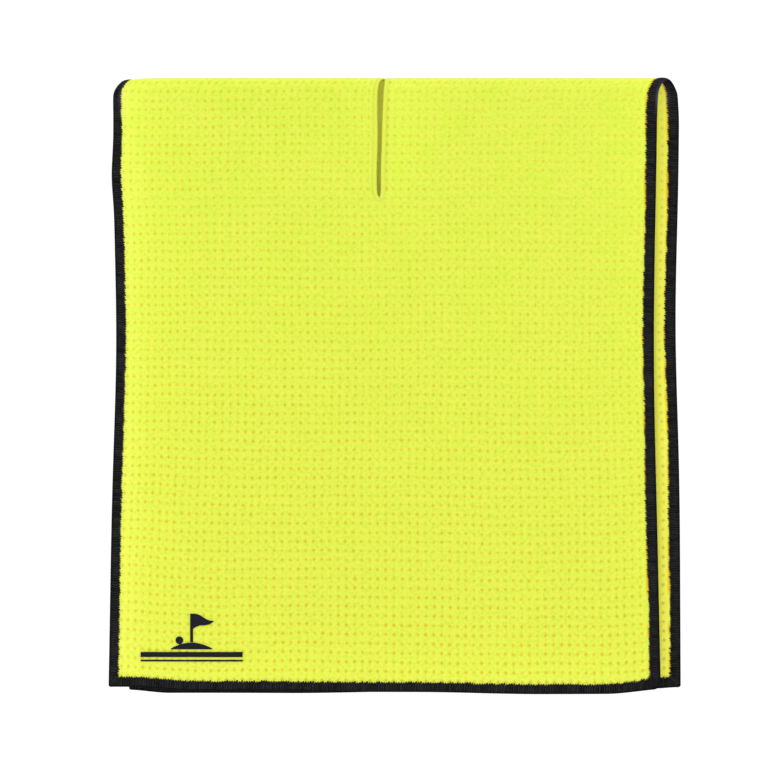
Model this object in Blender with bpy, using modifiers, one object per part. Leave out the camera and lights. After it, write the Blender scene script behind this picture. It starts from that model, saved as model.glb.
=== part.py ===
"""Golf towel: a waffle-weave sheet that hangs folded over its middle, with an overlocked edge and a slit for a club.

The sheet bends only over the line it hangs from, so it is built as three bodies. A fold band stays on that line,
and a front half and a back half swing about it, far enough to lift the towel out flat. The back half hangs a
little to the +X side of the front half, and the fold band leans over to join them.

Metres, +Z up, the front faces -Y. The origin is the centre of the fold's curve, where a rail or hook lies.
"""

import math

import bmesh
import bpy

# Driving dimensions
TOWEL_WIDTH = 0.450
TOWEL_LENGTH = 1.016
CLOTH_THICKNESS = 0.0022
FOLD_RADIUS = 0.008  # to the middle of the cloth's thickness
BACK_SHIFT = 0.016  # how far the back half hangs to the +X side of the front half
EDGING_WIDTH = 0.008
EDGING_THICKNESS = 0.0028
CORNER_RADIUS = 0.002  # of the cloth inside the edging
SLIT_LENGTH = 0.204  # along the cloth, half of it on each side of the fold
SLIT_GAP = 0.005
SLIT_OFFSET = -0.0035  # from the middle of the towel's width
SLIT_EDGING_WIDTH = 0.004
SLIT_EDGING_THICKNESS = 0.0018
PRINT_THICKNESS = 0.0004
PRINT_FROM_SIDE = 0.066  # centre of the print to the towel's left edge
PRINT_FROM_END = 0.024  # lowest line of the print to the towel's lower edge
RULE_LENGTH = 0.084
THIN_RULE_HEIGHT = 0.0014
WIDE_RULE_HEIGHT = 0.0042
PRINT_SPACING = 0.0022  # clear height between the lines of the print
GREEN_WIDTH = 0.034
GREEN_HEIGHT = 0.0055
FLAGSTICK_WIDTH = 0.0024
FLAGSTICK_HEIGHT = 0.0235
PENNANT_LENGTH = 0.0165
PENNANT_HEIGHT = 0.0125
BALL_RADIUS = 0.0032
BALL_OFFSET = -0.0100  # from the flagstick

# Clearances
JOIN_GAP = 0.0003  # between pieces of one body
LEAN_GAP = 0.0004  # across the fold band, whose joins lie at a slant
SWING_GAP = 0.0008  # between the fold band and a half, whose top end rises as it starts to swing

# Mesh density
FOLD_STEPS = 16
ARC_STEPS = 8

# Derived sizes, in each half's own X and in the towel's Z
HALF_WIDTH = TOWEL_WIDTH / 2
FOLD_ARC = math.pi / 2 * FOLD_RADIUS  # the cloth that one side of the fold takes up
HALF_BOTTOM = -(TOWEL_LENGTH / 2 - FOLD_ARC)
HALF_TOP = -SWING_GAP
CLOTH_HALF_WIDTH = HALF_WIDTH - EDGING_WIDTH - JOIN_GAP
CLOTH_BOTTOM = HALF_BOTTOM + EDGING_WIDTH + JOIN_GAP
OUTER_CORNER_RADIUS = CORNER_RADIUS + EDGING_WIDTH
CORNER_TOP = HALF_BOTTOM + OUTER_CORNER_RADIUS
SLIT_HALF_GAP = SLIT_GAP / 2
SLIT_REACH = SLIT_HALF_GAP + SLIT_EDGING_WIDTH
SLIT_END_CENTRE = -(SLIT_LENGTH / 2 - FOLD_ARC - SLIT_HALF_GAP)
HINGE_OFFSET = FOLD_ARC / 2  # out and up from the origin, which lays a half flat in line with the unrolled fold
PRINT_LEVEL = FOLD_RADIUS + CLOTH_THICKNESS / 2 + JOIN_GAP + PRINT_THICKNESS / 2

YELLOW = (0.79, 0.89, 0.08, 1.0)
PALE_YELLOW = (0.82, 0.91, 0.12, 1.0)
BLACK = (0.012, 0.012, 0.014, 1.0)
NAVY = (0.015, 0.015, 0.035, 1.0)


def clear_scene():
    """Remove whatever the scene starts with."""
    for obj in list(bpy.data.objects):
        bpy.data.objects.remove(obj, do_unlink=True)


def make_finish(name, colour, roughness):
    """A non-metallic Principled material."""
    finish = bpy.data.materials.new(name)
    finish.use_nodes = True
    shader = finish.node_tree.nodes["Principled BSDF"]
    shader.inputs["Base Color"].default_value = colour
    shader.inputs["Roughness"].default_value = roughness
    shader.inputs["Metallic"].default_value = 0.0
    finish.diffuse_color = colour
    return finish


def make_anchor(collection, name, location):
    """An empty that stands on a joint's axis and carries one body's pieces."""
    anchor = bpy.data.objects.new(name, None)
    anchor.empty_display_size = FOLD_RADIUS
    anchor.location = location
    collection.objects.link(anchor)
    return anchor


def arc(centre_x, centre_z, radius, start_deg, end_deg):
    """Points along a circular arc, both ends included."""
    points = []
    for step in range(ARC_STEPS + 1):
        angle = math.radians(start_deg + (end_deg - start_deg) * step / ARC_STEPS)
        points.append((centre_x + radius * math.cos(angle), centre_z + radius * math.sin(angle)))
    return points


def rectangle(low_x, high_x, low_z, high_z):
    """The four corners of an upright rectangle."""
    return [(low_x, low_z), (high_x, low_z), (high_x, high_z), (low_x, high_z)]


def add_plate(collection, name, outline, thickness, finish, anchor, half_x, half_y):
    """A flat outline in X and Z, extruded along Y about the plane y = half_y and moved by half_x along X."""
    curve = bpy.data.curves.new(name, "CURVE")
    curve.dimensions = "2D"
    curve.fill_mode = "BOTH"
    curve.extrude = thickness / 2
    spline = curve.splines.new("POLY")
    spline.points.add(len(outline) - 1)
    for point, (x, z) in zip(spline.points, outline):
        point.co = (x, z, 0.0, 1.0)
    spline.use_cyclic_u = True
    curve.materials.append(finish)
    plate = bpy.data.objects.new(name, curve)
    plate.rotation_euler.x = math.pi / 2
    plate.parent = anchor
    plate.location = (half_x - anchor.location.x, half_y - anchor.location.y, -anchor.location.z)
    collection.objects.link(plate)
    return plate


def add_fold_strip(collection, name, low_x, high_x, thickness, finish, anchor):
    """A strip of the fold band between two places across the towel: half a tube that leans along +X."""
    bend = bmesh.new()
    bmesh.ops.create_grid(bend, x_segments=1, y_segments=FOLD_STEPS, size=0.5)
    for vertex in bend.verts:
        across = low_x + (high_x - low_x) * (vertex.co.x + 0.5)
        turn = math.pi * vertex.co.y
        lean = BACK_SHIFT / 2 * math.sin(turn)
        vertex.co = (across + lean, FOLD_RADIUS * math.sin(turn), FOLD_RADIUS * math.cos(turn))
    mesh = bpy.data.meshes.new(name)
    bend.to_mesh(mesh)
    bend.free()
    mesh.shade_smooth()
    mesh.set_sharp_from_angle(angle=math.radians(30))
    mesh.materials.append(finish)
    strip = bpy.data.objects.new(name, mesh)
    strip.parent = anchor
    wall = strip.modifiers.new("cloth thickness", "SOLIDIFY")
    wall.thickness = thickness
    wall.offset = 0.0
    collection.objects.link(strip)
    return strip


def cloth_outline():
    """One half of the sheet inside its edging, notched from the top by the slit."""
    notch = SLIT_REACH + JOIN_GAP
    corner_x = CLOTH_HALF_WIDTH - CORNER_RADIUS
    corner_z = CLOTH_BOTTOM + CORNER_RADIUS
    outline = [(-CLOTH_HALF_WIDTH, HALF_TOP)]
    outline += arc(-corner_x, corner_z, CORNER_RADIUS, 180, 270)
    outline += arc(corner_x, corner_z, CORNER_RADIUS, 270, 360)
    outline += [(CLOTH_HALF_WIDTH, HALF_TOP), (SLIT_OFFSET + notch, HALF_TOP)]
    outline += arc(SLIT_OFFSET, SLIT_END_CENTRE, notch, 0, -180)
    outline += [(SLIT_OFFSET - notch, HALF_TOP)]
    return outline


def bottom_edging_outline():
    """The edging along a half's lower end, with the two corners that it turns."""
    corner_x = HALF_WIDTH - OUTER_CORNER_RADIUS
    outline = arc(-corner_x, CORNER_TOP, OUTER_CORNER_RADIUS, 180, 270)
    outline += arc(corner_x, CORNER_TOP, OUTER_CORNER_RADIUS, 270, 360)
    outline += arc(corner_x, CORNER_TOP, CORNER_RADIUS, 360, 270)
    outline += arc(-corner_x, CORNER_TOP, CORNER_RADIUS, 270, 180)
    return outline


def slit_end_outline():
    """The stitching round the closed end of the slit, half a ring."""
    outline = arc(SLIT_OFFSET, SLIT_END_CENTRE, SLIT_REACH, 180, 360)
    outline += arc(SLIT_OFFSET, SLIT_END_CENTRE, SLIT_HALF_GAP, 360, 180)
    return outline


def add_half(collection, side, anchor, half_x, half_y, finishes):
    """One hanging half: its cloth, the edging on three sides and the stitching down both lips of the slit."""
    edge_low = CORNER_TOP + JOIN_GAP
    inner_edge = HALF_WIDTH - EDGING_WIDTH
    lip_low = SLIT_END_CENTRE + JOIN_GAP
    left_lip = SLIT_OFFSET - SLIT_REACH
    right_lip = SLIT_OFFSET + SLIT_REACH
    cloth = ("cloth", CLOTH_THICKNESS)
    edging = ("edging", EDGING_THICKNESS)
    slit_edging = ("slit_edging", SLIT_EDGING_THICKNESS)
    pieces = [
        ("cloth", cloth, cloth_outline()),
        ("edging_left", edging, rectangle(-HALF_WIDTH, -inner_edge, edge_low, HALF_TOP)),
        ("edging_right", edging, rectangle(inner_edge, HALF_WIDTH, edge_low, HALF_TOP)),
        ("edging_bottom", edging, bottom_edging_outline()),
        (
            "slit_edging_left",
            slit_edging,
            rectangle(left_lip, SLIT_OFFSET - SLIT_HALF_GAP, lip_low, HALF_TOP),
        ),
        (
            "slit_edging_right",
            slit_edging,
            rectangle(SLIT_OFFSET + SLIT_HALF_GAP, right_lip, lip_low, HALF_TOP),
        ),
        ("slit_edging_end", slit_edging, slit_end_outline()),
    ]
    for name, (finish, thickness), outline in pieces:
        add_plate(
            collection, f"{side}_{name}", outline, thickness, finishes[finish], anchor, half_x, half_y
        )


def add_fold_band(collection, anchor, finishes):
    """The cloth, edging and slit stitching that stay over the line the towel hangs from, cut in two by the slit."""
    inner_edge = HALF_WIDTH - EDGING_WIDTH
    cloth_edge = inner_edge - LEAN_GAP
    left_lip = SLIT_OFFSET - SLIT_HALF_GAP
    right_lip = SLIT_OFFSET + SLIT_HALF_GAP
    pieces = [
        ("fold_edging_left", -HALF_WIDTH, -inner_edge, EDGING_THICKNESS, "edging"),
        ("fold_cloth_left", -cloth_edge, left_lip - SLIT_EDGING_WIDTH - LEAN_GAP, CLOTH_THICKNESS, "cloth"),
        ("fold_slit_edging_left", left_lip - SLIT_EDGING_WIDTH, left_lip, SLIT_EDGING_THICKNESS, "slit_edging"),
        ("fold_slit_edging_right", right_lip, right_lip + SLIT_EDGING_WIDTH, SLIT_EDGING_THICKNESS, "slit_edging"),
        ("fold_cloth_right", right_lip + SLIT_EDGING_WIDTH + LEAN_GAP, cloth_edge, CLOTH_THICKNESS, "cloth"),
        ("fold_edging_right", inner_edge, HALF_WIDTH, EDGING_THICKNESS, "edging"),
    ]
    for name, low_x, high_x, thickness, finish in pieces:
        add_fold_strip(collection, name, low_x, high_x, thickness, finishes[finish], anchor)


def add_print(collection, anchor, half_x, finish):
    """A printed badge near the front's lower left corner: a flag and ball on a green, over two plain rules."""
    centre_x = PRINT_FROM_SIDE - HALF_WIDTH
    thin_low = HALF_BOTTOM + PRINT_FROM_END
    wide_low = thin_low + THIN_RULE_HEIGHT + PRINT_SPACING
    green_low = wide_low + WIDE_RULE_HEIGHT + PRINT_SPACING
    green_radius = (GREEN_WIDTH**2 / 4 + GREEN_HEIGHT**2) / (2 * GREEN_HEIGHT)
    green_half_angle = math.degrees(math.asin(GREEN_WIDTH / 2 / green_radius))
    green_centre_z = green_low + GREEN_HEIGHT - green_radius
    stick_low = green_low + GREEN_HEIGHT + JOIN_GAP
    stick_high = stick_low + FLAGSTICK_HEIGHT
    pennant_x = centre_x + FLAGSTICK_WIDTH / 2 + JOIN_GAP
    pennant_low = stick_high - PENNANT_HEIGHT
    ball_x = centre_x + BALL_OFFSET
    ball_rest = math.sqrt((green_radius + BALL_RADIUS + JOIN_GAP) ** 2 - BALL_OFFSET**2)
    ball_z = green_centre_z + ball_rest
    half_rule = RULE_LENGTH / 2
    outlines = {
        "print_rule_thin": rectangle(
            centre_x - half_rule, centre_x + half_rule, thin_low, thin_low + THIN_RULE_HEIGHT
        ),
        "print_rule_wide": rectangle(
            centre_x - half_rule, centre_x + half_rule, wide_low, wide_low + WIDE_RULE_HEIGHT
        ),
        "print_green": arc(
            centre_x, green_centre_z, green_radius, 90 + green_half_angle, 90 - green_half_angle
        ),
        "print_flagstick": rectangle(
            centre_x - FLAGSTICK_WIDTH / 2, centre_x + FLAGSTICK_WIDTH / 2, stick_low, stick_high
        ),
        "print_pennant": [
            (pennant_x, pennant_low),
            (pennant_x + PENNANT_LENGTH, pennant_low + PENNANT_HEIGHT / 2),
            (pennant_x, stick_high),
        ],
        "print_ball": arc(ball_x, ball_z, BALL_RADIUS, 0, 180)[:-1] + arc(ball_x, ball_z, BALL_RADIUS, 180, 360)[:-1],
    }
    for name, outline in outlines.items():
        add_plate(collection, name, outline, PRINT_THICKNESS, finish, anchor, half_x, -PRINT_LEVEL)


def main():
    """Build the towel in a collection of its own."""
    clear_scene()
    towel = bpy.data.collections.new("golf_towel")
    bpy.context.scene.collection.children.link(towel)
    finishes = {
        "cloth": make_finish("yellow waffle cloth", YELLOW, 0.9),
        "edging": make_finish("black overlock thread", BLACK, 0.75),
        "slit_edging": make_finish("yellow overlock thread", PALE_YELLOW, 0.85),
        "print": make_finish("navy print", NAVY, 0.6),
    }
    fold = make_anchor(towel, "fold", (0.0, 0.0, 0.0))
    front_swing = make_anchor(towel, "front_swing", (0.0, -HINGE_OFFSET, HINGE_OFFSET))
    back_swing = make_anchor(towel, "back_swing", (0.0, HINGE_OFFSET, HINGE_OFFSET))
    front_x = -BACK_SHIFT / 2
    back_x = BACK_SHIFT / 2
    add_fold_band(towel, fold, finishes)
    add_half(towel, "front", front_swing, front_x, -FOLD_RADIUS, finishes)
    add_half(towel, "back", back_swing, back_x, FOLD_RADIUS, finishes)
    add_print(towel, front_swing, front_x, finishes["print"])


main()
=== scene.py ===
"""The look of a hanging golf towel: waffle cloth, overlocked edges, a stitched slit and a printed badge.

The towel is one sheet of waffle-weave microfibre, hung folded over its middle. Each half bends with the fold,
so its cloth, its edging and its slit stitching all follow one drape, which says where every point of the flat
sheet hangs. Metres, +Z up, the front faces -Y.
"""

import logging
import math
from dataclasses import dataclass, field
from enum import Enum
from typing import Any

import bpy
import numpy as np
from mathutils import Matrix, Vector


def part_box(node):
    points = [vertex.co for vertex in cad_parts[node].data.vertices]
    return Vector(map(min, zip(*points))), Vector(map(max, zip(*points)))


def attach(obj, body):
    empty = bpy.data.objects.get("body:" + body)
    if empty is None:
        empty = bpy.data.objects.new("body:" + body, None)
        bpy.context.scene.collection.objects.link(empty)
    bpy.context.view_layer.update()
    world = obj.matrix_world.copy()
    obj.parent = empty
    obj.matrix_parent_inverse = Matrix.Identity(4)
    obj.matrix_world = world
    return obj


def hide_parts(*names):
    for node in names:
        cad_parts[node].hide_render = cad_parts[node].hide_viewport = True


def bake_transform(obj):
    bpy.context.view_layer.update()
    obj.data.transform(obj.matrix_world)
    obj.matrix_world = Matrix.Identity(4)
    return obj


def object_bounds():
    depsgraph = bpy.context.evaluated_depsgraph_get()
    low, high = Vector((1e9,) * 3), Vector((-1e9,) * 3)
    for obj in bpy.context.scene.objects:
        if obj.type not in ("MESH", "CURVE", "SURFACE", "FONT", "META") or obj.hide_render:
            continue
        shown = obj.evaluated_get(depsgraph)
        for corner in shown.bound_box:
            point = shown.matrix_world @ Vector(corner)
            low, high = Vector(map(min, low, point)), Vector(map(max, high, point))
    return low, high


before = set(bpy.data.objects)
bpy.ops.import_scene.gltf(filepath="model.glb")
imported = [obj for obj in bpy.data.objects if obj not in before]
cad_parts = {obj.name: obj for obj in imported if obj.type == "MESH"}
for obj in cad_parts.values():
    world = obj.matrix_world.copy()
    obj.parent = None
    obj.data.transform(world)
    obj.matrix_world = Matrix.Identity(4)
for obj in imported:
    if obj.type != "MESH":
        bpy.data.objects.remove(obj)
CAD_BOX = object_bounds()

LOG = logging.getLogger("golf_towel")
MM = 0.001
QUARTER_TURN = math.pi / 2
MIX_SHARE, MIX_UNDER, MIX_OVER = 0, 6, 7  # the colour mixer's inputs share names, so they go by number
BLOT_SHARE = 0.6  # a blot spans about this share of the noise's own unit
FINER = 0.55  # how strong each finer layer of noise is beside the one before
SLOPE_STEP = 0.2 * MM  # how far apart the drape is read to find its slope
TRAVEL_SHARE = 0.3  # of a step, on both sides of a station, to find which way a seam travels


# ---------------------------------------------------------------- small tools


def linear(hex_colour: str) -> tuple[float, float, float, float]:
    """Turn an sRGB hex colour into linear light.

    Args:
        hex_colour: six hex digits, such as "E6F24A".

    Returns:
        Red, green, blue and an alpha of 1.
    """
    channels = []
    for start in (0, 2, 4):
        value = int(hex_colour[start : start + 2], 16) / 255
        channels.append(value / 12.92 if value <= 0.04045 else ((value + 0.055) / 1.055) ** 2.4)
    return (channels[0], channels[1], channels[2], 1.0)


def ease(value: np.ndarray, start: float, end: float) -> np.ndarray:
    """Rise smoothly from 0 at start to 1 at end.

    Args:
        value: where to read the curve.
        start: the place where it leaves 0.
        end: the place where it reaches 1.

    Returns:
        The curve's height at each value.
    """
    share = np.clip((value - start) / (end - start), 0.0, 1.0)
    return share * share * (3.0 - 2.0 * share)


def bell(value: np.ndarray, centre: float, spread: float) -> np.ndarray:
    """A smooth hump of height 1 at centre, which fades over about two spreads."""
    return np.exp(-(((value - centre) / spread) ** 2))


class Kind(Enum):
    """The shader nodes in use: each one's type, its settings and the output that is read."""

    SHEET = ("ShaderNodeAttribute", {"attribute_name": "sheet"}, "Vector")
    PIT = ("ShaderNodeAttribute", {"attribute_name": "pit"}, "Fac")
    CROWN = ("ShaderNodeAttribute", {"attribute_name": "crown"}, "Fac")
    RIM = ("ShaderNodeAttribute", {"attribute_name": "rim"}, "Fac")
    RUBBED = ("ShaderNodeAttribute", {"attribute_name": "rubbed"}, "Fac")
    OBJECT_PLACE = ("ShaderNodeTexCoord", {}, "Object")
    SHEET_X = ("ShaderNodeSeparateXYZ", {}, "X")
    SHEET_Y = ("ShaderNodeSeparateXYZ", {}, "Y")
    SHEET_Z = ("ShaderNodeSeparateXYZ", {}, "Z")
    STRETCH = ("ShaderNodeMapping", {}, "Vector")
    NOISE = ("ShaderNodeTexNoise", {}, "Fac")
    STEP = ("ShaderNodeMapRange", {"interpolation_type": "SMOOTHSTEP"}, "Result")
    MIX = ("ShaderNodeMix", {"data_type": "RGBA"}, 2)
    BUMP = ("ShaderNodeBump", {}, "Normal")
    SHADER = ("ShaderNodeBsdfPrincipled", {}, "BSDF")
    SURFACE = ("ShaderNodeOutputMaterial", {}, None)
    SURROUND = ("ShaderNodeBackground", {}, "Background")
    WORLD = ("ShaderNodeOutputWorld", {}, None)


def add_node(tree: bpy.types.NodeTree, kind: Kind, inputs: dict[Any, Any]) -> Any:
    """Add one shader node.

    Args:
        tree: the node tree that gets it.
        kind: which node, with its settings.
        inputs: for each input socket, a value or the output socket that feeds it.

    Returns:
        The output socket that this kind is read by, or None.
    """
    type_name, settings, output = kind.value
    node = tree.nodes.new(type_name)
    for name, value in settings.items():
        setattr(node, name, value)
    for name, value in inputs.items():
        if isinstance(value, bpy.types.NodeSocket):
            tree.links.new(value, node.inputs[name])
        else:
            node.inputs[name].default_value = value
    return None if output is None else node.outputs[output]


# ---------------------------------------------------------------- the towel's plan


class Side(Enum):
    """The two hanging halves, by the way each one faces along Y."""

    FRONT = -1
    BACK = 1

    @property
    def label(self) -> str:
        """The half's name in the frame."""
        return self.name.lower()

    @property
    def fold_part(self) -> str:
        """The frame's word for the half's own part of the fold, as the towel is seen from its right."""
        return "left" if self is Side.FRONT else "right"


@dataclass(frozen=True)
class TowelPlan:
    """The towel's sizes as the frame gives them.

    A place on a half of the flat sheet is (across, along): across runs from the towel's middle to +X, and
    along runs from the crest of the fold to the half's lower end.
    """

    width: float
    half_length: float
    fold_radius: float
    half_shift: float
    edging_width: float
    slit_across: float
    slit_end: float

    @classmethod
    def from_frame(cls) -> "TowelPlan":
        """Read the sizes off the frame's nodes.

        Returns:
            The plan of this towel.
        """
        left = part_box("front_edging_left")
        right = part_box("front_edging_right")
        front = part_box("front_cloth")
        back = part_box("back_cloth")
        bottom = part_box("front_edging_bottom")
        slit_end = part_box("front_slit_edging_end")
        lip_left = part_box("front_slit_edging_left")
        lip_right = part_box("front_slit_edging_right")
        front_middle = (left[0][0] + right[1][0]) / 2
        radius = ((back[0][1] + back[1][1]) - (front[0][1] + front[1][1])) / 4
        lip_width = lip_left[1][0] - lip_left[0][0]
        arc = QUARTER_TURN * radius
        return cls(
            width=right[1][0] - left[0][0],
            half_length=arc - bottom[0][2],
            fold_radius=radius,
            half_shift=-front_middle,
            edging_width=left[1][0] - left[0][0],
            slit_across=(lip_left[1][0] + lip_right[0][0]) / 2 - front_middle,
            slit_end=arc - (slit_end[0][2] + lip_width),
        )


@dataclass(frozen=True)
class SideLine:
    """How one long edge of a half strays inwards from a straight line as it hangs."""

    inset: float
    waist: float
    waist_at: float
    waist_spread: float
    flare: float
    flare_power: float
    kink: float = 0.0
    kink_at: float = 0.085
    kink_spread: float = 0.022
    flare_limit: float = 1.1  # of the half's length

    def inward(self, hung: np.ndarray, half_length: float) -> np.ndarray:
        """How far the edge lies inside the straight line.

        Args:
            hung: distance along the cloth from the crest.
            half_length: the half's whole length.

        Returns:
            The distance towards the towel's middle.
        """
        drawn_in = self.inset + self.waist * bell(hung, self.waist_at, self.waist_spread)
        flared = self.flare * np.clip(hung / half_length, 0.0, self.flare_limit) ** self.flare_power
        return drawn_in - flared - self.kink * bell(hung, self.kink_at, self.kink_spread)


@dataclass(frozen=True)
class HemLine:
    """How far the lower edge drops below a straight line, as points that it passes through smoothly."""

    points: tuple[tuple[float, float], ...]

    def drop(self, across: np.ndarray) -> np.ndarray:
        """How far the edge drops.

        Args:
            across: place across the towel.

        Returns:
            The drop at each place.
        """
        total = np.full_like(across, self.points[0][1])
        for (start, high), (end, low) in zip(self.points, self.points[1:]):
            total += (low - high) * ease(across, start, end)
        return total


@dataclass(frozen=True)
class Swell:
    """A soft upright fold: cloth that swells in or out, more towards the lower end."""

    across: float
    spread: float
    depth: float
    drift: float = 0.0
    starts_at: float = 0.02
    full_at: float = 1.0

    def push(self, across: np.ndarray, share: np.ndarray) -> np.ndarray:
        """How far the cloth moves outwards.

        Args:
            across: place across the towel.
            share: place down the half, 0 at the fold and 1 at the lower end.

        Returns:
            The outward move.
        """
        centre = self.across + self.drift * share
        return self.depth * bell(across, centre, self.spread) * ease(share, self.starts_at, self.full_at)


@dataclass(frozen=True)
class Drape:
    """Where each point of one half of the flat sheet hangs."""

    plan: TowelPlan
    side: Side
    left: SideLine
    right: SideLine
    hem: HemLine
    swells: tuple[Swell, ...]
    stretch: float = 0.026
    lean_run: float = 19 * MM
    settle_run: float = 42 * MM
    crest_inset_left: float = 1.0 * MM
    crest_inset_right: float = 0.0
    crest_tuck: float = 5.0 * MM
    crest_tuck_run: float = 11 * MM
    crest_droop: float = 3.0 * MM
    crest_droop_right: float = 0.4 * MM
    crest_droop_run: float = 5.5 * MM
    slit_half_gap: float = 1.8 * MM
    slit_mouth: float = 0.75 * MM
    slit_mouth_at: float = 16 * MM
    slit_mouth_run: float = 25 * MM
    slit_crest_pinch: float = 1.9 * MM
    slit_crest_pinch_run: float = 5 * MM
    slit_crest_shift: float = -4.8 * MM
    slit_crest_run: float = 10 * MM
    slit_drift: float = -0.8 * MM
    slit_drift_run: float = 30 * MM
    slit_drift_fade: float = 1.9
    slit_relax: float = 12 * MM
    slit_relax_power: float = 1.5
    slit_end_squareness: int = 36
    hem_sag_from: float = 0.30

    def hung_length(self, along: np.ndarray) -> np.ndarray:
        """Length along the hanging cloth: its own weight stretches it a little more towards the lower end."""
        share = along / self.plan.half_length
        return along * (1.0 - self.stretch + self.stretch * share)

    def slit_along(self) -> float:
        """Where the slit ends along the flat sheet."""
        share = self.plan.slit_end / self.plan.half_length
        return self.plan.slit_end / (1.0 - self.stretch + self.stretch * share)

    def gap_beside_slit(self, hung: np.ndarray) -> np.ndarray:
        """How far each lip stands from the slit's line: pinched at the crest, closed by a round end.

        Args:
            hung: distance along the cloth from the crest.

        Returns:
            Half of the slit's gap at each place.
        """
        share = np.clip(hung / self.plan.slit_end, 0.0, 1.0)
        mouth = self.slit_mouth * bell(hung, self.slit_mouth_at, self.slit_mouth_run)
        pinch = self.slit_crest_pinch * bell(hung, 0.0, self.slit_crest_pinch_run)
        return (self.slit_half_gap + mouth - pinch) * np.sqrt(
            np.clip(1.0 - share**self.slit_end_squareness, 0.0, 1.0)
        )

    def place(self, across: np.ndarray, along: np.ndarray, lip: np.ndarray) -> np.ndarray:
        """Hang points of the flat sheet.

        Args:
            across: place across the towel.
            along: place along the half, from the crest.
            lip: -1 on the left of the slit and 1 on its right.

        Returns:
            Points in the frame, one row each.
        """
        plan = self.plan
        facing = self.side.value
        hung = self.hung_length(along)
        arc = QUARTER_TURN * plan.fold_radius
        turn = np.minimum(hung, arc) / plan.fold_radius
        below = np.maximum(hung - arc, 0.0)
        share = below / (plan.half_length - arc)
        outward = plan.fold_radius * np.sin(turn)
        height = plan.fold_radius * np.cos(turn) - below

        leaned = np.sin(QUARTER_TURN * np.clip(hung / self.lean_run, 0.0, 1.0))
        sideways = across + facing * plan.half_shift * leaned
        from_left = across / plan.width + 0.5
        settled = ease(hung, 0.0, self.settle_run)
        sideways += self.edge_inset(self.left, self.crest_inset_left, hung, settled) * (1.0 - from_left)
        sideways -= self.edge_inset(self.right, self.crest_inset_right, hung, settled) * from_left
        at_left_end = np.exp(-(across + plan.width / 2) / plan.edging_width)
        at_right_end = np.exp(-(plan.width / 2 - across) / plan.edging_width)
        sideways += self.crest_tuck * bell(hung, 0.0, self.crest_tuck_run) * at_left_end

        from_slit = np.maximum(lip * (across - plan.slit_across), 0.0)
        near_slit = np.exp(-((from_slit / self.slit_relax) ** self.slit_relax_power))
        faded = ease(hung, self.slit_drift_fade * plan.slit_end, plan.slit_end)
        drifted = ease(hung, 0.0, self.slit_drift_run) * faded
        shifted = self.slit_drift * drifted + self.slit_crest_shift * bell(hung, 0.0, self.slit_crest_run)
        sideways += near_slit * (lip * self.gap_beside_slit(hung) + shifted)

        height -= self.hem.drop(across) * ease(share, self.hem_sag_from, 1.0)
        droop = self.crest_droop * at_left_end + self.crest_droop_right * at_right_end
        height -= droop * bell(hung, 0.0, self.crest_droop_run)
        for swell in self.swells:
            outward += swell.push(across, share)
        return np.stack([sideways, facing * outward, height], axis=-1)

    def edge_inset(
        self, line: SideLine, at_crest: float, hung: np.ndarray, settled: np.ndarray
    ) -> np.ndarray:
        """A long edge's inset, which is the same for both halves where they meet at the crest.

        Args:
            line: the long edge's own line.
            at_crest: the inset at the crest.
            hung: distance along the cloth from the crest.
            settled: 0 at the crest and 1 where the half hangs free of it.

        Returns:
            The distance towards the towel's middle.
        """
        return at_crest + (line.inward(hung, self.plan.half_length) - at_crest) * settled

    def outward_normal(self, across: np.ndarray, along: np.ndarray, lip: np.ndarray) -> np.ndarray:
        """The direction that the cloth's outer face looks in.

        Args:
            across: place across the towel.
            along: place along the half, from the crest.
            lip: -1 on the left of the slit and 1 on its right.

        Returns:
            Unit vectors, one row each.
        """
        by_across = self.place(across + SLOPE_STEP, along, lip) - self.place(across - SLOPE_STEP, along, lip)
        ahead = self.place(across, along + SLOPE_STEP, lip)
        behind = self.place(across, np.maximum(along - SLOPE_STEP, 0.0), lip)
        normal = self.side.value * np.cross(by_across, ahead - behind)
        return normal / np.linalg.norm(normal, axis=-1, keepdims=True)

    def lip_of(self, across: np.ndarray) -> np.ndarray:
        """Which side of the slit each place is on."""
        return np.where(across < self.plan.slit_across, -1.0, 1.0)


# ---------------------------------------------------------------- meshes


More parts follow.
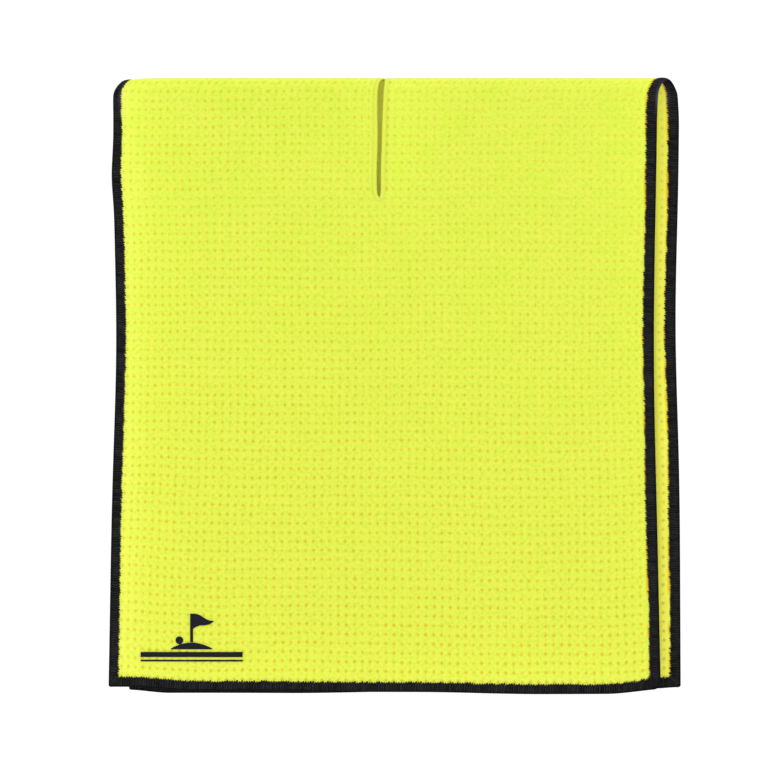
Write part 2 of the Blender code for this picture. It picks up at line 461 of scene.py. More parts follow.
@dataclass
class Layers:
    """A thin closed body: an outer and an inner layer over one net of quads, joined round their rims."""

    outer: np.ndarray
    inner: np.ndarray
    quads: np.ndarray
    flat: np.ndarray
    numbers: dict[str, np.ndarray] = field(default_factory=dict)

    MAP_MARGIN = 0.005
    MAP_LAYER = (0.485, 0.96)  # the width and height that one layer may take up
    MAP_RIM = (0.975, 0.995)
    RIM_FILL = 0.9  # the share of its place in the rim's strip that a face takes up

    def build(self, name: str) -> bpy.types.Object:
        """Make the body.

        Args:
            name: the piece's name.

        Returns:
            The new object, with its point attributes and an unwrapped UV map.
        """
        count = len(self.outer)
        turned = self.quads[:, ::-1] + count
        rim = self.rim_quads(count)
        points = np.concatenate([self.outer, self.inner])
        faces = facing_out(points, np.concatenate([self.quads, turned, rim]))
        piece = make_piece(name, points, faces)
        for label, values in self.numbers.items():
            write_attribute(piece.data, label, np.concatenate([values, values]))
        layer = np.concatenate([np.zeros(count), np.ones(count)])
        flat = np.concatenate([self.flat, self.flat])
        write_attribute(piece.data, "sheet", np.column_stack([flat, layer * MM]))
        self.unwrap(piece.data, flat, faces, len(self.quads))
        return piece

    def rim_quads(self, count: int) -> np.ndarray:
        """Quads that close the gap between the two layers wherever the net ends.

        Args:
            count: how many points one layer has.

        Returns:
            The rim's quads.
        """
        edges = np.concatenate([self.quads[:, [k, (k + 1) % 4]] for k in range(4)])
        forward = edges[:, 0].astype(np.int64) * count + edges[:, 1]
        backward = edges[:, 1].astype(np.int64) * count + edges[:, 0]
        start, end = edges[~np.isin(forward, backward)].T
        return np.column_stack([end, start, start + count, end + count])

    @staticmethod
    def unwrap(mesh: bpy.types.Mesh, flat: np.ndarray, faces: np.ndarray, layer_faces: int) -> None:
        """Lay the two layers side by side in a UV map, and the rim in a strip above them.

        Args:
            mesh: the mesh that gets the map.
            flat: each point's place on the flat sheet.
            faces: every face, with the outer layer's first and the rim's last.
            layer_faces: how many faces one layer has.
        """
        low = flat.min(axis=0)
        span = flat.max(axis=0) - low
        scale = min(Layers.MAP_LAYER[0] / span[0], Layers.MAP_LAYER[1] / span[1])
        places = (flat - low) * scale + Layers.MAP_MARGIN
        uv = places[faces]
        uv[layer_faces : 2 * layer_faces, :, 0] += 0.5
        rim_count = len(faces) - 2 * layer_faces
        start = (np.arange(rim_count) / rim_count) * (1.0 - 4 * Layers.MAP_MARGIN) + 2 * Layers.MAP_MARGIN
        end = start + Layers.RIM_FILL / rim_count
        rim_low, rim_high = Layers.MAP_RIM
        uv[2 * layer_faces :, :, 0] = np.stack([start, end, end, start], axis=1)
        uv[2 * layer_faces :, :, 1] = np.array([rim_low, rim_low, rim_high, rim_high])
        unwrapped = mesh.uv_layers.new(name="OFBake")
        unwrapped.uv.foreach_set("vector", uv.astype(np.float32).ravel())


def facing_out(points: np.ndarray, faces: np.ndarray) -> np.ndarray:
    """Turn a closed body's faces so that they look outwards.

    Args:
        points: one row a point.
        faces: one row of four point numbers a face, all turned the same way.

    Returns:
        The faces, turned over if they looked inwards.
    """
    a, b, c, d = (points[faces[:, k]] for k in range(4))
    volume = np.sum(np.cross(a, b) * c) + np.sum(np.cross(a, c) * d)
    return faces if volume > 0.0 else faces[:, ::-1]


def net(left_numbers: np.ndarray, right_numbers: np.ndarray) -> np.ndarray:
    """Quads between neighbouring lines.

    Args:
        left_numbers: point numbers as seen from the cells on a point's left.
        right_numbers: the same from the cells on its right, which differ along the slit.

    Returns:
        The quads.
    """
    upper = (right_numbers[:-1, :-1], left_numbers[:-1, 1:])
    lower = (left_numbers[1:, 1:], right_numbers[1:, :-1])
    return np.stack([corner.ravel() for corner in (*upper, *lower)], axis=1)


def make_piece(name: str, points: np.ndarray, faces: np.ndarray) -> bpy.types.Object:
    """Make a smooth-shaded mesh object.

    Args:
        name: the piece's name.
        points: one row a point, in the frame.
        faces: one row of point numbers a face, seen from outside.

    Returns:
        The new object, linked to the scene.
    """
    mesh = bpy.data.meshes.new(name)
    mesh.from_pydata(points.tolist(), [], faces.tolist())
    mesh.shade_smooth()
    piece = bpy.data.objects.new(name, mesh)
    bpy.context.scene.collection.objects.link(piece)
    return piece


def write_attribute(mesh: bpy.types.Mesh, label: str, values: np.ndarray) -> None:
    """Store one number or one vector a point.

    Args:
        mesh: the mesh that gets it.
        label: the attribute's name, which a finish reads.
        values: one value or one row of three a point.
    """
    vectors = values.ndim == 2
    kind = "FLOAT_VECTOR" if vectors else "FLOAT"
    attribute = mesh.attributes.new(label, kind, "POINT")
    attribute.data.foreach_set("vector" if vectors else "value", values.astype(np.float32).ravel())


@dataclass(frozen=True)
class WaffleCloth:
    """The woven sheet of one half, with a pit in the middle of each cell on both faces."""

    drape: Drape
    cells_across: int = 70
    cells_beside_slit: int = 14
    pit_half_width: float = 0.42  # of a cell
    pit_depths: tuple[float, float] = (0.56, 0.92)
    crest_depth: float = 0.86  # the share of a pit's depth at the crest, which grows towards the lower end
    depth_gain: float = 0.20
    top_right_fade: float = 0.42
    slit_pull: float = 0.5
    slit_pull_at: float = 5.5 * MM
    slit_pull_spread: float = 3.0 * MM
    first_pit: float = 4.4 * MM
    first_row: float = 7.95 * MM
    ridge_half_thickness: float = 1.12 * MM
    pit_half_thickness: float = 0.38 * MM
    pressed_half_thickness: float = 0.80 * MM
    lip_half_thickness: float = 0.32 * MM
    under_seam: float = 2.0 * MM
    lip_width: float = 4.2 * MM
    lip_rise: float = 6.5 * MM
    press_fade: tuple[float, float] = (2.0 * MM, 3.0 * MM)  # inside and outside the seam's own width
    line_gap: float = 0.2 * MM
    lookup_points: int = 400
    middle_tolerance: float = 0.02  # of a cell
    wander: float = 0.55 * MM
    crest_hold: float = 25 * MM
    hem_hold: tuple[float, float] = (2 * MM, 20 * MM)
    side_hold: tuple[float, float] = (2 * MM, 15 * MM)
    slit_hold: tuple[float, float] = (4 * MM, 20 * MM)
    gather: float = 9.0 * MM
    gather_run: float = 45 * MM
    seed: int = 11

    # Each wave: its length along its own way, its length along the other way, and its size.
    SWAY = ((31 * MM, 61 * MM, 1.0), (9.3 * MM, -43 * MM, 0.5))
    HEAVE = ((33 * MM, 73 * MM, 1.0), (8.1 * MM, 37 * MM, 0.5))

    def lines(
        self, low: float, high: float, origin: float, pitch: float, extra: tuple[float, ...]
    ) -> np.ndarray:
        """Net lines at both sides of each pit and through its middle.

        Args:
            low: where the net begins.
            high: where the net ends.
            origin: a place where two cells meet.
            pitch: one cell's size.
            extra: more lines that the net needs.

        Returns:
            The lines' places in order.
        """
        first = math.floor((low - origin) / pitch)
        last = math.ceil((high - origin) / pitch)
        cells = origin + pitch * np.arange(first, last)
        inside = np.concatenate([cells + pitch * (0.5 + s * self.pit_half_width) for s in (-1, 0, 1)])
        inside = inside[(inside > low + self.line_gap) & (inside < high - self.line_gap)]
        return np.sort(np.concatenate([inside, [low, high], extra]))

    def build(self) -> bpy.types.Object:
        """Weave the half.

        Returns:
            The cloth, as one closed body.
        """
        plan = self.drape.plan
        edge = plan.width / 2 - self.under_seam
        end = plan.half_length - self.under_seam
        slit_end = self.drape.slit_along()
        pitch_across = plan.width / self.cells_across
        pitch_along = slit_end / self.cells_beside_slit
        loose = np.linspace(-edge, edge, self.lookup_points)
        slit_woven = float(np.interp(plan.slit_across, self.gathered(loose), loose))
        cell_origin = slit_woven + self.first_pit - pitch_across / 2
        woven = self.lines(-edge, edge, cell_origin, pitch_across, (slit_woven,))
        columns = self.gathered(woven)
        row_origin = self.first_row - pitch_along / 2
        rows = self.lines(0.0, end, row_origin, pitch_along, (slit_end,))
        slit_column = int(np.argmin(np.abs(columns - plan.slit_across)))
        slit_row = int(np.argmin(np.abs(rows - slit_end)))

        numbers = np.arange(len(rows) * len(columns)).reshape(len(rows), len(columns))
        across, along = np.meshgrid(columns, rows)
        lip = np.where(np.arange(len(columns)) <= slit_column, -1.0, 1.0) * np.ones_like(across)
        right_lip = len(rows) * len(columns) + np.arange(slit_row)
        from_column = numbers.copy()
        from_column[:slit_row, slit_column] = right_lip
        quads = net(numbers, from_column)

        across = np.concatenate([across.ravel(), np.full(slit_row, plan.slit_across)])
        along = np.concatenate([along.ravel(), rows[:slit_row]])
        lip = np.concatenate([lip.ravel(), np.ones(slit_row)])
        cell_across = np.concatenate([np.tile(woven, len(rows)), np.full(slit_row, slit_woven)])
        cell_across = (cell_across - cell_origin) / pitch_across
        cell_along = (along - row_origin) / pitch_along
        pit = self.pits(across, along, cell_across, cell_along)
        quads = self.split_at_pits(quads, pit)
        thickness = self.half_thickness(across, along, pit)
        moved_across, moved_along = self.wandered(across, along)
        middle = self.drape.place(moved_across, moved_along, lip)
        normal = self.drape.outward_normal(moved_across, moved_along, lip) * thickness[:, None]
        body = Layers(
            middle + normal,
            middle - normal,
            quads,
            np.column_stack([across, along]),
            {"pit": pit},
        )
        return body.build(f"{self.drape.side.label}_waffle_cloth")

    def gathered(self, woven: np.ndarray) -> np.ndarray:
        """Draw the columns together near the left edge, where the seam gathers them.

        Args:
            woven: places across the cloth as it left the loom.

        Returns:
            The same places across the sewn half.
        """
        width = self.drape.plan.width
        from_left = woven + width / 2
        drawn = 1.0 - np.exp(-from_left / self.gather_run) - from_left / width
        return woven - self.gather * drawn

    @staticmethod
    def split_at_pits(quads: np.ndarray, pit: np.ndarray) -> np.ndarray:
        """Turn each quad's first corner so that its diagonal runs into a pit: every pit is then four-sided.

        Args:
            quads: the net's quads.
            pit: how deep each point lies in a pit.

        Returns:
            The quads, with some of them turned by one corner.
        """
        deepest = np.argmax(pit[quads], axis=1)
        return np.where((deepest % 2 == 1)[:, None], np.roll(quads, -1, axis=1), quads)

    def pits(
        self, across: np.ndarray, along: np.ndarray, cell_across: np.ndarray, cell_along: np.ndarray
    ) -> np.ndarray:
        """How deep each point lies in a pit: 0 on the ridges, and near 1 in the middle of a cell.

        Args:
            across: place across the towel.
            along: place along the half.
            cell_across: the same place counted in cells.
            cell_along: the same place counted in cells.

        Returns:
            The depth as a share, a little different in each cell.
        """
        in_middle = [np.abs(cell % 1.0 - 0.5) < self.middle_tolerance for cell in (cell_across, cell_along)]
        slit_end = self.drape.slit_along()
        plan = self.drape.plan
        slit_gap = np.hypot(across - plan.slit_across, np.maximum(along - slit_end, 0.0))
        edge_gap = np.minimum(plan.width / 2 - np.abs(across), plan.half_length - along)
        clear = (slit_gap > self.lip_width) & (edge_gap > plan.edging_width)
        rng = np.random.default_rng(self.seed + self.drape.side.value)
        share = along / plan.half_length
        fainter = 1.0 - self.top_right_fade * (across / plan.width + 0.5) * (1.0 - share)
        beside_slit = bell(across - plan.slit_across, self.slit_pull_at, self.slit_pull_spread)
        pulled = 1.0 + self.slit_pull * beside_slit * (along < slit_end)
        lower = self.crest_depth + self.depth_gain * share
        depth = rng.uniform(*self.pit_depths, len(across)) * lower * fainter * pulled
        return np.where(in_middle[0] & in_middle[1] & clear, depth, 0.0)

    def half_thickness(self, across: np.ndarray, along: np.ndarray, pit: np.ndarray) -> np.ndarray:
        """Half of the cloth's thickness: full on the ridges, thin in the pits, pressed flat under stitching.

        Args:
            across: place across the towel.
            along: place along the half.
            pit: how deep each point lies in a pit.

        Returns:
            Half the thickness at each point.
        """
        plan = self.drape.plan
        full = self.ridge_half_thickness + (self.pit_half_thickness - self.ridge_half_thickness) * pit
        edge_gap = np.minimum(plan.width / 2 - np.abs(across), plan.half_length - along)
        inside, outside = self.press_fade
        free = ease(edge_gap, plan.edging_width - inside, plan.edging_width + outside)
        full = self.pressed_half_thickness + (full - self.pressed_half_thickness) * free
        beyond_slit = np.maximum(along - self.drape.slit_along(), 0.0)
        slit_gap = np.hypot(across - plan.slit_across, beyond_slit)
        lip_free = ease(slit_gap, 0.0, self.lip_rise)
        return self.lip_half_thickness + (full - self.lip_half_thickness) * lip_free

    def wandered(self, across: np.ndarray, along: np.ndarray) -> tuple[np.ndarray, np.ndarray]:
        """Let rows and columns wander a little, as loosely woven ones do.

        Args:
            across: place across the towel.
            along: place along the half.

        Returns:
            The same places, moved by less than the wander.
        """
        plan = self.drape.plan
        loose = ease(along, 0.0, self.crest_hold) * ease(plan.half_length - along, *self.hem_hold)
        loose = loose * ease(plan.width / 2 - np.abs(across), *self.side_hold)
        loose = loose * ease(np.abs(across - plan.slit_across), *self.slit_hold)
        sway = sum(size * np.sin(along / own + across / other) for own, other, size in self.SWAY)
        heave = sum(size * np.sin(across / own + along / other) for own, other, size in self.HEAVE)
        return across + self.wander * sway * loose, along + self.wander * heave * loose


# ---------------------------------------------------------------- seams


@dataclass(frozen=True)
class Overlock:
    """Overlock stitching: threads laid side by side over an edge, as one ribbed sleeve.

    The sleeve's section runs from the needle line on the outer face, over the edge, to the needle line on the
    inner face. Each entry of the section is a share of the way in from the edge and a share of the height.
    """

    drape: Drape
    name: str
    width: float
    height: float
    rib_pitch: float
    rib_height: float
    slant: float
    ragged: float
    seed: int
    steps_a_rib: int = 5
    rib_sizes: tuple[float, float] = (0.72, 1.12)
    rib_roundness: float = 0.8
    top_share: float = 0.6
    needle_from: float = 0.9  # of the way in: what lies past it strays with the needle line
    reach_parts: tuple[float, float, float] = (0.6, 1.2, 0.8)  # by chance, under the crown, and taken off
    rim_share: float = 0.22

    SECTION = (
        (1.00, 0.30),
        (0.95, 0.80),
        (0.80, 0.98),
        (0.52, 1.04),
        (0.26, 1.00),
        (0.09, 0.80),
        (0.00, 0.48),
        (-0.03, 0.16),
    )

    def outline(self) -> tuple[np.ndarray, np.ndarray, np.ndarray]:
        """Stations along the stitched edge, for a seam to fill in.

        Returns:
            Points on the edge, points on the needle line, and which lip of the slit each station is on.
        """
        raise NotImplementedError

    def build(self) -> bpy.types.Object:
        """Stitch the seam.

        Returns:
            The seam, as one closed body.
        """
        edge, needle, lip = self.outline()
        count = len(edge)
        step = np.arange(count)
        rng = np.random.default_rng(self.seed)
        rib_number = step // self.steps_a_rib
        crown = np.abs(np.sin(math.pi * step / self.steps_a_rib)) ** self.rib_roundness
        rib_size = rng.uniform(*self.rib_sizes, rib_number[-1] + 1)[rib_number]
        reach = rng.uniform(-1.0, 1.0, rib_number[-1] + 1)[rib_number]
        chance, hole, less = self.reach_parts
        reach_share = 1.0 + self.ragged * (chance * reach + hole * crown - less)

        section = [*self.SECTION, *((c, -h) for c, h in self.SECTION[::-1])]
        inward = np.array([c for c, _ in section])
        lift = np.array([h for _, h in section])
        share = inward[None, :] * np.where(inward[None, :] > self.needle_from, reach_share[:, None], 1.0)
        places = edge[:, None, :] + (needle - edge)[:, None, :] * share[..., None]
        on_top = ease(np.abs(lift), 0.0, self.top_share)
        full = self.height + self.rib_height * (crown * rib_size)[:, None] * on_top[None, :]
        across = places[..., 0].ravel()
        along = np.maximum(places[..., 1].ravel(), 0.0)
        lips = np.repeat(lip, len(section))
        raised = self.drape.outward_normal(across, along, lips) * (full * lift[None, :]).ravel()[:, None]
        points = self.drape.place(across, along, lips) + raised

        piece = make_piece(self.name, points, facing_out(points, self.sleeve(count, len(section))))
        length = np.repeat(step * self.rib_pitch / self.steps_a_rib, len(section))
        around = np.tile(np.arange(1, len(section) + 1), count) * (2 * self.width / len(section))
        write_attribute(piece.data, "sheet", np.column_stack([length, around, np.zeros(len(length))]))
        write_attribute(piece.data, "crown", np.repeat(crown * rib_size, len(section)))
        write_attribute(piece.data, "rim", np.tile(1.0 - ease(inward, 0.0, self.rim_share), count))
        write_attribute(piece.data, "rubbed", self.rubbed(edge, inward).ravel())
        return piece

    def rubbed(self, edge: np.ndarray, inward: np.ndarray) -> np.ndarray:
        """How much painted highlight each point has.

        Args:
            edge: points on the edge, one row a station.
            inward: each section point's share of the way in from the edge.

        Returns:
            The painted highlight from 0 to 1, one row a station.
        """
        return np.zeros((len(edge), len(inward)))

    def sleeve(self, stations: int, around: int) -> np.ndarray:
        """Quads round the sleeve, with its two ends closed.

        Args:
            stations: how many rings it has.
            around: how many points a ring has.

        Returns:
            The quads.
        """
        ring = np.arange(around)
        following = (ring + 1) % around
        start = (np.arange(stations - 1) * around)[:, None]
        near = [start + ring, start + following]
        far = [start + around + following, start + around + ring]
        sides = np.stack([*near, *far], axis=2).reshape(-1, 4)
        pairs = np.arange(around // 2 - 1)
        cap = np.column_stack([pairs, around - 1 - pairs, around - 2 - pairs, pairs + 1])
        last = cap + (stations - 1) * around
        return np.concatenate([sides, cap, last[:, ::-1]])


def walk(points: np.ndarray, step: float) -> tuple[np.ndarray, np.ndarray]:
    """Even steps along a line through points.

    Args:
        points: the line's own points, close together where it curves.
        step: the wanted distance between stations.

    Returns:
        The stations, and the direction of travel at each.
    """
    lengths = np.linalg.norm(np.diff(points, axis=0), axis=1)
    run = np.concatenate([[0.0], np.cumsum(lengths)])
    stations = np.linspace(0.0, run[-1], int(round(run[-1] / step)) + 1)
    places = np.column_stack([np.interp(stations, run, points[:, k]) for k in range(2)])
    reach = TRAVEL_SHARE * step
    ahead = np.column_stack([np.interp(stations + reach, run, points[:, k]) for k in range(2)])
    behind = np.column_stack([np.interp(stations - reach, run, points[:, k]) for k in range(2)])
    travel = ahead - behind
    return places, travel / np.linalg.norm(travel, axis=1, keepdims=True)


@dataclass(frozen=True)
class EdgeOverlock(Overlock):
    """The seam down one long edge of a half, round its lower end and up the other long edge."""

    left_corner: float = 1.6 * MM
    right_corner: float = 5.0 * MM
    inner_corner: float = 2.0 * MM
    left_pull: float = 1.6 * MM
    left_pull_run: float = 60 * MM
    right_pull: float = 1.2 * MM
    right_pull_run: float = 13 * MM
    right_from: float = 0.4  # of the towel's width, from its middle
    right_spread: float = 0.85 * MM
    right_sway: float = 0.5  # of the spread
    right_sway_length: float = 164 * MM
    # where the painted highlight lies, just below the crest
    rub_at: float = 20 * MM
    rub_run: float = 12 * MM
    rub_band: float = 0.12
    rub_left: float = 0.95
    rub_right: float = 0.0
    corner_points: int = 12

    def outline(self) -> tuple[np.ndarray, np.ndarray, np.ndarray]:
        """Stations from the crest down, round both corners and up again.

        Returns:
            Points on the edge, points on the needle line, and each station's lip of the slit.
        """
        plan = self.drape.plan
        half = plan.width / 2
        length = plan.half_length
        points = [(-half, 0.0)]
        for centre_x, radius, first in (
            (-half + self.left_corner, self.left_corner, 180),
            (half - self.right_corner, self.right_corner, 90),
        ):
            for degrees in np.linspace(first, first - 90, self.corner_points):
                angle = math.radians(degrees)
                along = length - radius + radius * math.sin(angle)
                points.append((centre_x + radius * math.cos(angle), along))
        points.append((half, 0.0))
        edge, travel = walk(np.array(points), self.rib_pitch / self.steps_a_rib)
        outward = np.column_stack([-travel[:, 1], travel[:, 0]])
        leading = edge + travel * self.slant
        inset = self.width + self.inner_corner + self.needle_shift(edge)
        core = np.column_stack(
            [
                np.clip(leading[:, 0], -half + inset, half - inset),
                np.minimum(leading[:, 1], length - inset),
            ]
        )
        needle = core + outward * self.inner_corner
        needle[:, 1] = np.where(edge[:, 1] <= 0.0, 0.0, needle[:, 1])
        return edge, needle, self.drape.lip_of(edge[:, 0])

    def needle_shift(self, edge: np.ndarray) -> np.ndarray:
        """How much wider than its set width the seam is: narrow at the crest, and wider on the right.

        Args:
            edge: points on the edge, one row a station.

        Returns:
            The extra width at each station.
        """
        across, along = edge.T
        width = self.drape.plan.width
        on_right = ease(across, self.right_from * width, width / 2)
        left = -self.left_pull * bell(along, 0.0, self.left_pull_run)
        sway = 1.0 + self.right_sway * np.sin(2.0 * math.pi * along / self.right_sway_length)
        right = self.right_spread * sway - self.right_pull * bell(along, 0.0, self.right_pull_run)
        return left * (1.0 - on_right) + right * on_right

    def rubbed(self, edge: np.ndarray, inward: np.ndarray) -> np.ndarray:
        """A painted highlight: a short pale line just below the crest, where the edging bends over the fold.

        Args:
            edge: points on the edge, one row a station.
            inward: each section point's share of the way in from the edge.

        Returns:
            The painted highlight from 0 to 1, one row a station.
        """
        left = bell(inward, self.rub_left, self.rub_band)[None, :]
        right = bell(inward, self.rub_right, self.rub_band)[None, :]
        line = np.where(edge[:, :1] > 0.0, right, left)
        return line * bell(edge[:, 1:], self.rub_at, self.rub_run)


@dataclass(frozen=True)
class SlitOverlock(Overlock):
    """The tonal stitching down one lip of the slit, round its end and up the other lip."""

    turn_density: float = 0.6  # stations round the end, beside the same length of a lip

    def outline(self) -> tuple[np.ndarray, np.ndarray, np.ndarray]:
        """Stations from the crest down the left lip, round the end and up the right lip.

        Returns:
            Points on the edge, points on the needle line, and each station's lip of the slit.
        """
        middle = self.drape.plan.slit_across
        end = self.drape.slit_along()
        step = self.rib_pitch / self.steps_a_rib
        down = np.linspace(0.0, end, int(end / step))
        turn = np.linspace(math.pi, 0.0, int(math.pi * self.width * self.turn_density / step))[1:-1]
        straight = np.full(len(down), middle)
        edge_along = np.concatenate([down, np.full(len(turn), end), down[::-1]])
        edge = np.column_stack([np.concatenate([straight, np.full(len(turn), middle), straight]), edge_along])
        aside = np.concatenate([np.full(len(down), -1.0), np.cos(turn), np.full(len(down), 1.0)])
        ahead = np.concatenate([np.zeros(len(down)), np.sin(turn), np.zeros(len(down))])
        needle = edge + self.width * np.column_stack([aside, ahead])
        return edge, needle, np.where(aside < 0.0, -1.0, 1.0)


# ---------------------------------------------------------------- the print


@dataclass(frozen=True)
class BadgePatch:
    """One patch of printed film: its node's name, and the X and Z of each point of its net."""

    name: str
    places: np.ndarray


@dataclass(frozen=True)
class PrintedBadge:
    """A flag and ball on a green over two plain rules, near the front's lower left corner."""

    drape: Drape
    lift: float = 1.22 * MM
    film: float = 0.26 * MM
    mound_edge: float = 0.12
    ripple: float = 0.07
    pennant_point: float = 0.07
    settling_rounds: int = 3
    flat_bar_net: tuple[int, int] = (60, 5)
    upright_bar_net: tuple[int, int] = (4, 20)
    green_net: tuple[int, int] = (28, 6)
    pennant_net: tuple[int, int] = (18, 8)
    ball_net: tuple[int, int] = (10, 10)

    def patches(self) -> list[BadgePatch]:
        """Shape every patch, each named for the frame's node that it stands for.

        Returns:
            The badge's patches.
        """
        bars = ("print_rule_thin", "print_rule_wide", "print_flagstick")
        return [
            *(BadgePatch(name, self.bar(name)) for name in bars),
            BadgePatch("print_green", self.green()),
            BadgePatch("print_pennant", self.pennant()),
            BadgePatch("print_ball", self.ball()),
        ]

    @staticmethod
    def unit_net(columns: int, rows: int) -> tuple[np.ndarray, np.ndarray]:
        """A net over the unit square."""
        return np.meshgrid(np.linspace(0.0, 1.0, columns), np.linspace(0.0, 1.0, rows))

    def spread(self, name: str, share_x: np.ndarray, share_z: np.ndarray) -> np.ndarray:
        """Lay shares of a node's box out as frame places.

        Args:
            name: the node whose box is used.
            share_x: share of the box's width.
            share_z: share of the box's height.

        Returns:
            X and Z, one pair a net point.
        """
        low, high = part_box(name)
        x = low[0] + (high[0] - low[0]) * share_x
        z = low[2] + (high[2] - low[2]) * share_z
        return np.stack([x, z], axis=-1)

    def bar(self, name: str) -> np.ndarray:
        """A plain bar, with more points along it than across it.

        Args:
            name: the bar's node.

        Returns:
            The bar's net of places.
        """
        low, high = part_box(name)
        lies_flat = high[0] - low[0] > high[2] - low[2]
        points = self.flat_bar_net if lies_flat else self.upright_bar_net
        return self.spread(name, *self.unit_net(*points))

    def green(self) -> np.ndarray:
        """A low mound.

        Returns:
            The mound's net of places.
        """
        share_x, share_z = self.unit_net(*self.green_net)
        top = self.mound_edge + (1.0 - self.mound_edge) * (1.0 - (2.0 * share_x - 1.0) ** 2)
        return self.spread("print_green", share_x, share_z * top)

    def pennant(self) -> np.ndarray:
        """A three-cornered flag that ripples.

        Returns:
            The flag's net of places.
        """
        share_x, share_z = self.unit_net(*self.pennant_net)
        middle = 0.5 + self.ripple * np.sin(2.0 * math.pi * share_x)
        low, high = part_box("print_pennant")
        at_stick = (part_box("print_flagstick")[1][0] - low[0]) / (high[0] - low[0])
        reach = at_stick + (1.0 - at_stick) * share_x
        height = 1.0 - (1.0 - self.pennant_point) * share_x
        return self.spread("print_pennant", reach, middle + (share_z - 0.5) * height)

    def ball(self) -> np.ndarray:
        """A round dot, from a square net pressed into a disc.

        Returns:
            The ball's net of places.
        """
        share_x, share_z = self.unit_net(*self.ball_net)
        x = 2.0 * share_x - 1.0
        z = 2.0 * share_z - 1.0
        round_x = x * np.sqrt(1.0 - z**2 / 2.0)
        round_z = z * np.sqrt(1.0 - x**2 / 2.0)
        return self.spread("print_ball", (round_x + 1.0) / 2.0, (round_z + 1.0) / 2.0)

    def build(self) -> list[tuple[bpy.types.Object, str]]:
        """Press the badge onto the front half.

        Returns:
            Each film and the node that it stands for.
        """
        plan = self.drape.plan
        arc = QUARTER_TURN * plan.fold_radius
        films = []
        for patch in self.patches():
            rows, columns = patch.places.shape[:2]
            wanted_x = patch.places[..., 0].ravel()
            wanted_z = patch.places[..., 1].ravel()
            across = wanted_x + plan.half_shift
            along = arc - wanted_z
            lip = self.drape.lip_of(across)
            for _ in range(self.settling_rounds):
                landed = self.drape.place(across, along, lip)
                across = across + wanted_x - landed[:, 0]
                along = along + landed[:, 2] - wanted_z
            middle = self.drape.place(across, along, lip)
            normal = self.drape.outward_normal(across, along, lip)
            numbers = np.arange(rows * columns).reshape(rows, columns)
            body = Layers(
                middle + normal * (self.lift + self.film),
                middle + normal * self.lift,
                net(numbers, numbers),
                np.column_stack([across, along]),
            )
            films.append((body.build(f"{patch.name}_film"), patch.name))
        return films


# ---------------------------------------------------------------- finishes


@dataclass(frozen=True)
class Blots:
    """Soft noise whose blots are about one size, with finer noise layered on it."""

    size: float
    layers: float = 2.0

    def inputs(self, where: Any) -> dict[str, Any]:
        """What a noise node takes to draw these blots at a place on the sheet."""
        return {"Vector": where, "Scale": BLOT_SHARE / self.size, "Detail": self.layers, "Roughness": FINER}


@dataclass(frozen=True)
class Band:
    """A smooth step: the two levels that it runs between, and what it gives at each."""

    low: float
    high: float
    least: Any = 0.0
    most: Any = 1.0

    def inputs(self, value: Any) -> dict[str, Any]:
        """What a range node takes to read a value by this step."""
        levels = {"From Min": self.low, "From Max": self.high}
        return {"Value": value, "To Min": self.least, "To Max": self.most, **levels}


def blank_material(name: str) -> tuple[bpy.types.Material, bpy.types.NodeTree]:
    """Start a material with an empty node tree.

    Args:
        name: the material's name.

    Returns:
        The material and its tree.
    """
    material = bpy.data.materials.new(name)
    material.use_nodes = True
    material.node_tree.nodes.clear()
    return material, material.node_tree


def tinted(tree: bpy.types.NodeTree, colour: Any, *coats: tuple[Any, Any]) -> Any:
    """Lay tints over a colour, one after another.

    Args:
        tree: the node tree.
        colour: the first colour.
        coats: for each tint, how much of it shows and its colour.

    Returns:
        The socket of the finished colour.
    """
    for share, tint in coats:
        colour = add_node(tree, Kind.MIX, {MIX_SHARE: share, MIX_UNDER: colour, MIX_OVER: tint})
    return colour


def dress(tree: bpy.types.NodeTree, looks: dict[str, Any]) -> None:
    """Finish a tree with one shader.

    Args:
        tree: the node tree.
        looks: the shader's inputs. What is the same all over the surface is a plain number or colour.
    """
    add_node(tree, Kind.SURFACE, {"Surface": add_node(tree, Kind.SHADER, looks)})


